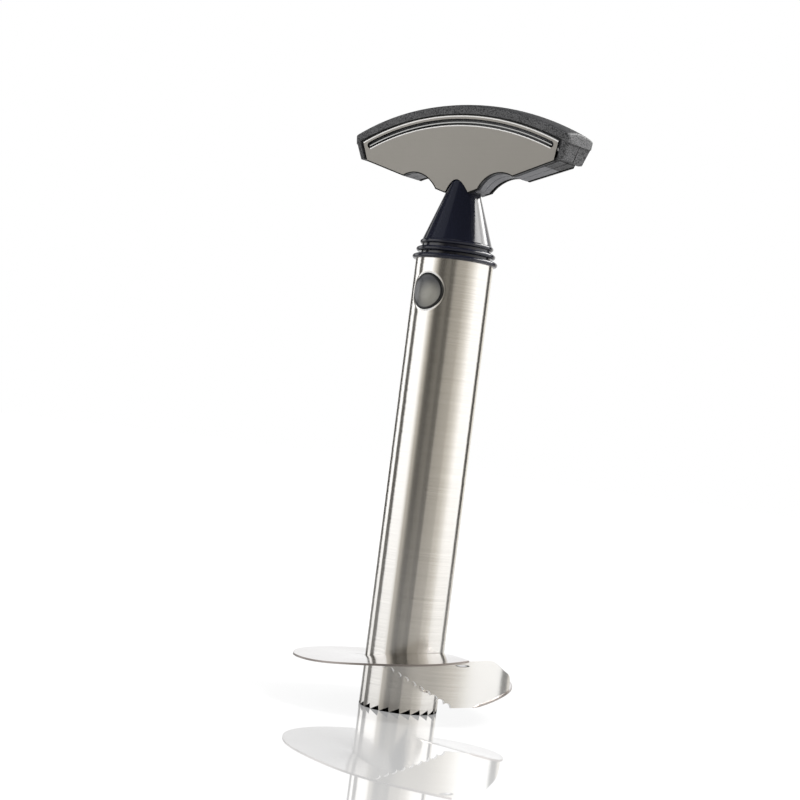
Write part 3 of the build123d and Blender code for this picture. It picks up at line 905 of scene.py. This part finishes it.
@dataclass(frozen=True)
class SmoothPlastic:
    """Satin moulded plastic with a very fine spark-eroded texture.

    Args:
        name: The material's name.
        colour: Its middle colour.
        roughness: Its least roughness.
        spread: How far the roughness varies.
        unevenness: Share by which the colour varies to each side.
        cloud_scale: Uneven patches to a metre.
        texture_scale: Pits of the texture to a metre.
        texture_detail: Levels of finer pits.
        depth: Depth of the texture in metres.
    """

    name: str
    colour: Colour
    roughness: float
    spread: float = 0.12
    unevenness: float = 0.08
    cloud_scale: float = 60.0
    texture_scale: float = 4500.0
    texture_detail: float = 3.0
    depth: float = 0.00001

    def build(self) -> bpy.types.Material:
        """Make the material.

        Returns:
            The new material.
        """
        recipe = Recipe(self.name)
        fine = recipe.cloud(self.texture_scale, self.texture_detail)
        tint = recipe.blend(
            recipe.cloud(self.cloud_scale),
            scaled(self.colour, 1.0 - self.unevenness),
            scaled(self.colour, 1.0 + self.unevenness),
        )
        return recipe.surface(
            Base_Color=tint,
            Roughness=fine * self.spread + self.roughness,
            Normal=recipe.bump(fine, self.depth),
        )


@dataclass(frozen=True)
class SatinPlate:
    """Warm grey satin metal, rubbed along the handle, with painted highlights and painted shade on
    its edges.

    Args:
        name: The material's name.
        light: Colour of the bright lines.
        dark: Colour of the dull lines.
        edge: Painted highlight on the edges that face up and on the bright lines.
        shade: Painted shade on the edges that face down, and colour of the dark line along the
            lower edge.
        grain: Lines to a metre of x, y and z.
        cloud_scale: Uneven patches to a metre.
        line_share: Share of the unevenness that the lines make.
        roughness: How much rougher the face is than the edges.
        edge_roughness: Least roughness of the edges.
        spread: How far the roughness varies.
        depth: Depth of the lines in metres.
        face_range: Forward parts of the facing, from an edge to the face.
        lit_range: Upright parts of the facing, from an edge with painted shade to one with a
            painted highlight.
        lit_band: How far inside the arc the painted highlight on the edges starts and is full, in
            metres.
        keel: Height of the plate's lower corner in the middle of the handle.
        slope: Rise of its lower edge for each unit of its length.
        finger_place: How far to each side the finger hollows' centres are.
        finger_level: Height of these centres.
        finger_radius: Radius of the hollows in the plate.
        border: Width of the dark line along the lower edge.
        border_blur: Blur of its border to each side.
        arc_radius: Radius of the plate's upper edge.
        arc_centre: Height of that arc's centre.
        slot_radius: Radius of the slot's lower edge.
        slot_reach: How far to each side the painted highlight under the slot goes.
        highlight_width: Width of the painted highlight lines.
        highlight_place: How far inside the arc its line runs, in its widths.
        highlight_range: Where a line ends, from all bright to plain, in its widths.
    """

    name: str
    light: Colour = (0.42, 0.40, 0.365)
    dark: Colour = (0.335, 0.318, 0.290)
    edge: Colour = (0.95, 0.94, 0.92)
    shade: Colour = (0.02, 0.02, 0.02)
    grain: tuple[float, float, float] = (40.0, 3000.0, 3000.0)
    cloud_scale: float = 35.0
    line_share: float = 0.6
    roughness: float = 0.34
    edge_roughness: float = 0.1
    spread: float = 0.1
    depth: float = 0.000004
    face_range: Range = (0.82, 0.93)
    lit_range: Range = (-0.3, -0.1)
    lit_band: Range = (0.0008, 0.0006)
    keel: float = 0.20905
    slope: float = 0.30
    finger_place: float = 0.0224
    finger_level: float = 0.2054
    finger_radius: float = 0.0134
    border: float = 0.0005
    border_blur: float = 0.0001
    arc_radius: float = 0.12797
    arc_centre: float = 0.11393
    slot_radius: float = 0.12382
    slot_reach: float = 0.0463
    highlight_width: float = 0.0004
    highlight_place: float = 1.6
    highlight_range: Range = (0.45, 0.65)

    def build(self) -> bpy.types.Material:
        """Make the material.

        Returns:
            The new material.
        """
        recipe = Recipe(self.name)
        lines = recipe.streaks(self.grain)
        cloud = recipe.cloud(self.cloud_scale)
        _, front, upright = recipe.parts(recipe.facing())
        face = abs(front).smooth(*self.face_range)
        x, _, z = recipe.parts(recipe.place())
        arc = x.hypot(z - self.arc_centre)
        # Edges that face up get a painted highlight, and edges that face down get painted shade.
        lit_start, lit_end = (self.arc_radius - inwards for inwards in self.lit_band)
        lit = upright.smooth(*self.lit_range) * arc.smooth(lit_start, lit_end)
        edge = recipe.blend(lit, self.shade, self.edge)
        worn = lines * self.line_share + cloud * (1.0 - self.line_share)
        colour = recipe.blend(worn, self.dark, self.light)
        # Painted highlight lines under the slot and along the arc.
        colour = recipe.blend(self._beyond_painted_highlights(x, arc), self.edge, colour)
        colour = recipe.blend(face, edge, colour)
        return recipe.surface(
            Base_Color=recipe.blend(self._inside_border(x, z), self.shade, colour),
            Metallic=1.0,
            Roughness=lines * self.spread + face * self.roughness + self.edge_roughness,
            Normal=recipe.bump(lines, self.depth),
        )

    def _inside_border(self, x: Shade, z: Shade) -> Shade:
        """Lay out the dark line along the plate's lower edge.

        Args:
            x: Place along the handle in metres.
            z: Height in metres.

        Returns:
            0 on the line and 1 above it.
        """
        hollow = (abs(x) - self.finger_place).hypot(z - self.finger_level) - self.finger_radius
        above = (z - self.keel - abs(x) * self.slope) / math.hypot(1.0, self.slope)
        return above.smaller(hollow).step(self.border, self.border_blur)

    def _beyond_painted_highlights(self, x: Shade, arc: Shade) -> Shade:
        """Lay out the painted highlight lines under the slot and along the arc.

        Args:
            x: Place along the handle in metres.
            arc: Distance from the arc's centre in metres.

        Returns:
            0 on the painted highlight lines and 1 outside them.
        """
        off_slot = abs(arc - (self.slot_radius - self.highlight_width / 2)) / self.highlight_width
        off_slot += abs(x).smooth(self.slot_reach, self.slot_reach + self.highlight_width)
        off_arc = abs(arc - (self.arc_radius - self.highlight_place * self.highlight_width)) / self.highlight_width
        return off_slot.smaller(off_arc).smooth(*self.highlight_range)


@dataclass(frozen=True)
class PlainSteel:
    """Drawn or turned steel with slight unevenness, for wire, pins and screws.

    Args:
        name: The material's name.
        colour: Its brighter colour.
        darker: Its darker colour for each unit of the brighter one.
        roughness: Its least roughness.
        spread: How far the roughness varies.
        cloud_scale: Uneven patches to a metre.
    """

    name: str
    colour: Colour = (0.60, 0.59, 0.57)
    darker: float = 0.9
    roughness: float = 0.25
    spread: float = 0.1
    cloud_scale: float = 900.0

    def build(self) -> bpy.types.Material:
        """Make the material.

        Returns:
            The new material.
        """
        recipe = Recipe(self.name)
        cloud = recipe.cloud(self.cloud_scale)
        return recipe.surface(
            Base_Color=recipe.blend(cloud, scaled(self.colour, self.darker), self.colour),
            Metallic=1.0,
            Roughness=cloud * self.spread + self.roughness,
        )


@dataclass(frozen=True)
class TrimMetal:
    """Bright strip with a burnished face, and painted shade on its sides and lower border.

    Args:
        name: The material's name.
        face: Colour of the face.
        side: Painted shade on the sides and the border.
        face_range: Forward parts of the facing, from a side to the face.
        arc_radius: Radius in metres where the painted shade of the border ends.
        arc_centre: Height of that arc's centre.
        arc_blur: Blur of the border's end to each side.
        grain: Lines to a metre of x, y and z.
        line_detail: Levels of finer lines.
        line_rough: How strong the finer levels are.
        roughness: Least roughness.
        spread: How far the roughness varies.
    """

    name: str
    face: Colour = (0.42, 0.42, 0.41)
    side: Colour = (0.012, 0.012, 0.012)
    face_range: Range = (0.85, 0.95)
    arc_radius: float = 0.12477
    arc_centre: float = 0.11393
    arc_blur: float = 0.00004
    grain: tuple[float, float, float] = (60.0, 4000.0, 4000.0)
    line_detail: float = 2.0
    line_rough: float = 0.5
    roughness: float = 0.22
    spread: float = 0.1

    def build(self) -> bpy.types.Material:
        """Make the material.

        Returns:
            The new material.
        """
        recipe = Recipe(self.name)
        _, front, _ = recipe.parts(recipe.facing())
        x, _, z = recipe.parts(recipe.place())
        arc = x.hypot(z - self.arc_centre)
        # Painted shade: the sides and the lower border are dark, and only the face is bright metal.
        face = abs(front).smooth(*self.face_range) * arc.step(self.arc_radius, self.arc_blur)
        lines = recipe.streaks(self.grain, self.line_detail, self.line_rough)
        return recipe.surface(
            Base_Color=recipe.blend(face, self.side, self.face),
            Metallic=face,
            Roughness=lines * self.spread + self.roughness,
        )


@dataclass(frozen=True)
class ButtonPlastic:
    """Satin push button with a slightly domed face under painted shade, and a painted shadow ring
    on the skirt round it.

    Args:
        name: The material's name.
        colour: Colour of the face where it is lightest.
        shaded: Colour where it is darkest.
        rim: Painted shadow on the skirt round the face.
        radius: Radius of the face in metres.
        rim_blur: Width of the step from the face to the skirt.
        height: Height of the button's centre.
        offset_share: How far the lightest place is to the right and down, by the radius.
        shade_shares: Distances from it where the shade starts and is full, by the radius.
        dome_shares: Distances from the centre where the dome starts and ends, by the radius.
        dome: How far the dome falls in metres.
        texture_scale: Pits of the texture to a metre.
        texture_detail: Levels of finer pits.
        texture_depth: Depth of the pits in metres.
        roughness: Least roughness.
        spread: How far the roughness varies.
    """

    name: str
    colour: Colour = (0.27, 0.262, 0.232)
    shaded: Colour = (0.055, 0.056, 0.060)
    rim: Colour = (0.010, 0.010, 0.010)
    radius: float = 0.0063
    rim_blur: float = 0.0003
    height: float = 0.169
    offset_share: float = 0.3
    shade_shares: Range = (0.25, 1.25)
    dome_shares: Range = (0.4, 1.1)
    dome: float = 0.0006
    texture_scale: float = 4000.0
    texture_detail: float = 3.0
    texture_depth: float = 0.000006
    roughness: float = 0.22
    spread: float = 0.12

    def build(self) -> bpy.types.Material:
        """Make the material.

        Returns:
            The new material.
        """
        recipe = Recipe(self.name)
        x, _, z = recipe.parts(recipe.place())
        drop = z - self.height
        reach = x.hypot(drop)
        # Painted shadow ring on the skirt, and painted shade across the face away from its lightest
        # place.
        skirt = reach.smooth(self.radius, self.radius + self.rim_blur)
        offset = self.radius * self.offset_share
        away = (x - offset).hypot(drop + offset)
        shade = away.smooth(*(self.radius * share for share in self.shade_shares))
        face = recipe.blend(shade, self.colour, self.shaded)
        fine = recipe.cloud(self.texture_scale, self.texture_detail)
        fall = reach.smooth(*(self.radius * share for share in self.dome_shares))
        height = fall * -self.dome + fine * self.texture_depth
        return recipe.surface(
            Base_Color=recipe.blend(skirt, face, self.rim),
            Roughness=fine * self.spread + self.roughness,
            Normal=recipe.bump(height, 1.0),
        )


@dataclass
class SubAssembly:
    """A group of the tool's pieces that is dressed together.

    Args:
        frame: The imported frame, with its nodes by name.
    """

    frame: dict

    def dress(self, nodes: tuple[str, ...], material: bpy.types.Material) -> None:
        """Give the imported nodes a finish.

        Args:
            nodes: Names of the nodes.
            material: The finish they share.
        """
        for node in nodes:
            for slot in self.frame["nodes"][node].material_slots:
                slot.material = material
            LOG.info("dressed %s with %s", node, material.name)


@dataclass
class CoringHead(SubAssembly):
    """The toothed tube, the spiral blade on it and the skirt on the blade's rim.

    Args:
        tube: Finish of the tube.
        blade: Finish of the blade.
        skirt: Finish of the skirt.
    """

    tube: BrushedSteel = TubeSteel("tube_brushed_steel", roughness=0.19)
    blade: BrushedSteel = BladeSteel(
        "blade_brushed_steel",
        light=(0.605, 0.588, 0.584),
        dark=(0.563, 0.546, 0.542),
        roughness=0.15,
        spread=0.05,
        grain=(60.0, 900.0, 60.0),
        depth=0.0000005,
        stretch=0.0,
        sway=0.0,
    )
    skirt: BrushedSteel = SkirtSteel("skirt_brushed_steel")

    def build(self) -> None:
        """Dress the head's nodes."""
        self.dress(("coring_tube",), self.tube.build())
        self.dress(("spiral_blade",), self.blade.build())
        self.dress(("cutting_skirt",), self.skirt.build())


@dataclass
class LatchPlug(SubAssembly):
    """The plug in the tube's mouth with its buttons and springs, and the hidden fasteners.

    Args:
        housing: Finish of the plug's halves and its cap.
        button: Finish of the buttons.
        spring: Finish of the springs.
        fastener: Finish of the tool's pins and screws.
        travel: How far a button goes in, in metres. Not used.
    """

    housing: SmoothPlastic = SmoothPlastic("housing_plastic", (0.05, 0.05, 0.052), 0.42)
    button: ButtonPlastic = ButtonPlastic("button_plastic")
    spring: PlainSteel = PlainSteel("spring_wire")
    fastener: PlainSteel = PlainSteel("fastener_steel", (0.56, 0.56, 0.55), roughness=0.3)
    travel: float = 0.0024

    def build(self) -> None:
        """Dress the plug's nodes."""
        self.dress(
            ("left_latch_housing", "right_latch_housing", "housing_end_cap"),
            self.housing.build(),
        )
        self.dress(("front_button", "rear_button"), self.button.build())
        wire = self.spring.build()
        self.dress(("front_button_spring", "rear_button_spring"), wire)
        for side in ("front", "rear"):
            self._coil(side, wire)
        self.dress(("housing_screw", "neck_pins", "shell_screws"), self.fastener.build())

    def _coil(self, side: str, wire: bpy.types.Material) -> None:
        """Stand a coil in for a packed spring.

        Args:
            side: front or rear.
            wire: The finish of its wire.
        """
        node = f"{side}_button_spring"
        coil = add_object(f"{side}_coil", self.frame["nodes"][node].data.copy())
        coil.data.materials.clear()
        coil.data.materials.append(wire)
        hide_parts(node)
        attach(coil, "slicer")
        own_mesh(coil)
        LOG.info("stood %s in for %s", coil.name, node)


@dataclass
class Handle(SubAssembly):
    """The neck and the T handle on it.

    Args:
        neck: Finish of the neck.
        core: Finish of the wedge between the shells.
        grip: Finish of the shells and the strip over them.
        plate: Finish of the face plates.
        trim: Finish of the strips in the plates' slots.
    """

    neck: GlossPlastic = GlossPlastic("neck_gloss_plastic")
    core: SmoothPlastic = SmoothPlastic("core_plastic", (0.165, 0.165, 0.175), 0.34)
    grip: GrainedPlastic = GrainedPlastic("grip_grained_plastic")
    plate: SatinPlate = SatinPlate("plate_satin_metal")
    trim: TrimMetal = TrimMetal("trim_bright_metal")

    def build(self) -> None:
        """Dress the handle's nodes."""
        self.dress(("neck",), self.neck.build())
        self.dress(("handle_core",), self.core.build())
        self.dress(("front_grip_shell", "rear_grip_shell", "top_spine"), self.grip.build())
        self.dress(("front_face_plate", "rear_face_plate"), self.plate.build())
        self.dress(("front_trim_strip", "rear_trim_strip"), self.trim.build())


@dataclass(frozen=True)
class Card:
    """A curved studio card round the tool that only reflections see.

    Args:
        name: The card's name.
        bearing: Where its middle stands, in degrees from +X towards +Y.
        span: How many degrees it covers.
        low: Elevation of its lower edge in degrees.
        high: Elevation of its upper edge in degrees.
        glow_shares: Brightness at shares of the way across, as shares of the strength.
        warmth: How much blue its dimmer parts lack, or have too much of below zero.
        strength: Brightness of its brightest part.
        reach: Distance from the tool in metres.
    """

    name: str
    bearing: float
    span: float
    low: float
    high: float
    glow_shares: tuple[Range, ...]
    warmth: float = 0.0
    strength: float = 1.0
    reach: float = 1.6

    def build(self) -> None:
        """Stand the card up, facing the tool."""
        start = self.bearing - self.span / 2
        form = bmesh.new()
        geometry = [form.verts.new(STUDIO_CENTRE + self.reach * direction(start, self.low))]
        side = direction(start, 0.0).cross(UP)
        for axis, sweep in ((side, self.high - self.low), (UP, self.span)):
            bmesh.ops.spin(
                form,
                geom=geometry,
                cent=STUDIO_CENTRE,
                axis=axis,
                angle=math.radians(sweep),
                steps=max(2, round(sweep / CARD_STEP)),
            )
            geometry = form.verts[:] + form.edges[:]
        mesh = finished_mesh(form, self.name)
        mesh.materials.append(self._glow())
        card = add_object(self.name, mesh)
        card.visible_camera = False
        card.visible_diffuse = False
        card.visible_shadow = False
        card.visible_transmission = False

    def _glow(self) -> bpy.types.Material:
        """Make the card's light, brighter and darker from place to place across it.

        Returns:
            The new material.
        """
        recipe = Recipe(self.name + "_glow")
        x, y, _ = recipe.parts(recipe.place())
        turn = math.radians(self.bearing)
        ahead = x * math.cos(turn) + y * math.sin(turn)
        aside = y * math.cos(turn) - x * math.sin(turn)
        share = aside.arctan2(ahead) / math.radians(self.span) + 0.5
        stops = tuple((place, self._tinted(glow)) for place, glow in self.glow_shares)
        colour = recipe.add("ShaderNodeValToRGB", {"stops": stops}, {0: share})
        inputs = {"Color": colour, "Strength": self.strength}
        return recipe.close(recipe.add("ShaderNodeEmission", {}, inputs))

    def _tinted(self, glow: float) -> Colour:
        """Colour of a brightness, which has less blue the dimmer it is."""
        lack = self.warmth * (1.0 - glow * glow)
        return (glow, glow * (1.0 - GREEN_WARMTH_SHARE * lack), glow * (1.0 - lack))


@dataclass(frozen=True)
class Lamp:
    """A square soft lamp that faces the tool and doesn't show in reflections.

    Args:
        name: The lamp's name.
        bearing: Where it hangs, in degrees from +X towards +Y.
        rise: Its elevation in degrees.
        reach: Its distance from the studio's middle in metres.
        size: The length of its side in metres.
        power: Its power in watts.
    """

    name: str
    bearing: float
    rise: float
    reach: float
    size: float
    power: float

    def build(self) -> None:
        """Hang the lamp."""
        data = bpy.data.lights.new(self.name, "AREA")
        data.shape = "SQUARE"
        data.size = self.size
        data.energy = self.power
        lamp = add_object(self.name, data)
        place = STUDIO_CENTRE + self.reach * direction(self.bearing, self.rise)
        turn = (place - STUDIO_CENTRE).to_track_quat("Z", "Y")
        lamp.matrix_world = Matrix.Translation(place) @ turn.to_matrix().to_4x4()
        lamp.visible_glossy = False


@dataclass
class Studio:
    """The pale floor, the soft light and the camera.

    Args:
        yaw: How far round to the right of the tool's front the camera stands, in degrees.
        distance: Its distance from the tube's axis in metres.
        height: Its height above the floor.
        pan: How far it looks to the right of the axis, in degrees.
        tilt: How far it looks up, in degrees.
        roll: How far it is turned about its line of sight, in degrees.
        lens: Its focal length in millimetres.
        sensor: Width of its sensor in millimetres.
        near: The nearest that it sees, in metres.
        floor_half: Half of the floor's side in metres.
        floor_colour: Colour of the floor.
        floor_lift: Light of its own that the floor shows the camera.
        floor_echo: Share of that light that reflections see.
        floor_bounce: Share of it that falls on the tool.
        floor_glow: More light beyond the mirror, where the floor is plain.
        floor_gloss: Index of refraction of the floor's gloss.
        floor_mirror: Strength of its mirror image.
        mirror_rough: Roughness of the mirror image.
        mirror_reach: Distance from the axis in metres where the mirror starts to fade.
        mirror_fade: Distance where it has faded, for each unit of its reach.
        bore_shadow: Radius of the floor's painted shadow inside the tube, where it has no light of
            its own.
        bore_shade_blur: Width of that painted shadow's blurred border.
        ambient: Strength of the soft light from all sides.
        lamps: The lamps.
        cards: The cards that the tool reflects.
    """

    yaw: float = 38.3
    distance: float = 0.7439
    height: float = 0.1083
    pan: float = -1.155
    tilt: float = 1.238
    roll: float = 7.325
    lens: float = 82.0
    sensor: float = 36.0
    near: float = 0.01
    floor_half: float = 6.0
    floor_colour: Colour = (0.15, 0.15, 0.15)
    floor_lift: float = 0.69
    floor_echo: float = 0.37
    floor_bounce: float = 1.12
    floor_glow: float = 0.25
    floor_gloss: float = 1.85
    floor_mirror: float = 1.15
    mirror_rough: float = 0.02
    mirror_reach: float = 0.21
    mirror_fade: float = 1.5
    bore_shadow: float = 0.0152
    bore_shade_blur: float = 0.0005
    ambient: float = 0.80
    lamps: tuple[Lamp, ...] = (
        Lamp("key_lamp", 18.0, 52.0, 1.3, 0.55, 27.0),
        Lamp("fill_lamp", 200.0, 45.0, 1.5, 0.8, 8.0),
    )
    cards: tuple[Card, ...] = (
        Card("drum_card", 308.3, 318.0, -14.0, 22.0, DRUM_SHARES, 0.19, 1.45),
        Card("bright_card_behind", 128.3, 60.0, -4.0, 24.0, ((0.0, 1.0),), 0.0, 1.1, 2.2),
        Card("dark_card_above_front", 310.0, 116.0, 24.0, 80.0, ((0.0, 0.045),), -0.3),
        Card("grey_card_above_left", 227.0, 50.0, 24.0, 80.0, ((0.0, 0.25),), -0.2),
        Card("dark_card_above_back", 147.0, 110.0, 24.0, 80.0, ((0.0, 0.04),), -0.2),
        Card("bright_card_above", 51.0, 82.0, 26.0, 50.0, BRIGHT_SHARES, 0.06, 15.0),
        Card("dark_card_above_right", 50.0, 84.0, 51.0, 80.0, ((0.0, 0.04),), -0.2),
    )

    def build(self) -> None:
        """Set up everything that isn't the tool."""
        self._camera()
        self._world()
        self._floor()
        for light in (*self.lamps, *self.cards):
            light.build()
        bpy.context.scene.view_settings.view_transform = "Standard"

    def _camera(self) -> None:
        """Put the camera where the photograph was taken from."""
        pan, tilt, roll = (math.radians(part) for part in (self.pan, self.tilt, self.roll))
        forward = Vector(
            (
                math.sin(pan) * math.cos(tilt),
                math.cos(pan) * math.cos(tilt),
                math.sin(tilt),
            )
        )
        level = Vector((math.cos(pan), -math.sin(pan), 0.0))
        raised = level.cross(forward)
        right = math.cos(roll) * level + math.sin(roll) * raised
        up = math.cos(roll) * raised - math.sin(roll) * level
        turn = Matrix((right, up, -forward)).transposed().to_4x4()
        place = Matrix.Translation((0.0, -self.distance, self.height))
        data = bpy.data.cameras.new("camera")
        data.lens = self.lens
        data.sensor_width = self.sensor
        data.clip_start = self.near
        camera = add_object("camera", data)
        camera.matrix_world = Matrix.Rotation(math.radians(self.yaw), 4, "Z") @ place @ turn
        bpy.context.scene.camera = camera

    def _world(self) -> None:
        """White to the camera and in reflections, and a soft light on the tool."""
        recipe = Recipe("studio", TreeKind.WORLD)
        inputs = {"Color": WHITE, "Strength": recipe.seen_ray(diffuse=self.ambient)}
        bpy.context.scene.world = recipe.close(recipe.add("ShaderNodeBackground", {}, inputs))

    def _floor(self) -> None:
        """Lay a white floor that mirrors the tool near its foot."""
        form = bmesh.new()
        bmesh.ops.create_grid(form, x_segments=1, y_segments=1, size=self.floor_half)
        mesh = finished_mesh(form, "floor")
        mesh.materials.append(self._floor_white())
        add_object("floor", mesh)

    def _floor_white(self) -> bpy.types.Material:
        """Make the floor's material, a lit matt white under a mirror.

        Returns:
            The new material.
        """
        recipe = Recipe("floor_white")
        # Painted shadow: the floor gives no light of its own inside the tube.
        beyond = recipe.radius().smooth(self.bore_shadow, self.bore_shadow + self.bore_shade_blur)
        far = recipe.radius().smooth(self.mirror_reach, self.mirror_reach * self.mirror_fade)
        plain = recipe.seen_ray(glossy=0.0) * far
        lift = recipe.seen_ray(self.floor_echo, self.floor_bounce) * beyond * self.floor_lift
        lift += plain * self.floor_glow
        matt = recipe.shader(
            Base_Color=(*self.floor_colour, 1.0),
            Roughness=1.0,
            Specular_IOR_Level=0.0,
            Emission_Color=WHITE,
            Emission_Strength=lift,
        )
        gloss = {"Color": WHITE, "Roughness": self.mirror_rough}
        mirror = recipe.add("ShaderNodeBsdfAnisotropic", {}, gloss)
        share = recipe.add("ShaderNodeFresnel", {}, {"IOR": self.floor_gloss})
        share *= self.floor_mirror
        share *= 1.0 - plain
        return recipe.close(
            recipe.add("ShaderNodeMixShader", {}, {0: share, 1: matt, 2: mirror})
        )


def main() -> None:
    """Dress the tool and set the studio."""
    logging.basicConfig(level=logging.INFO)
    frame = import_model()
    Studio().build()
    CoringHead(frame).build()
    LatchPlug(frame).build()
    Handle(frame).build()
    bpy.context.view_layer.update()


if __name__ == "__main__":
    main()
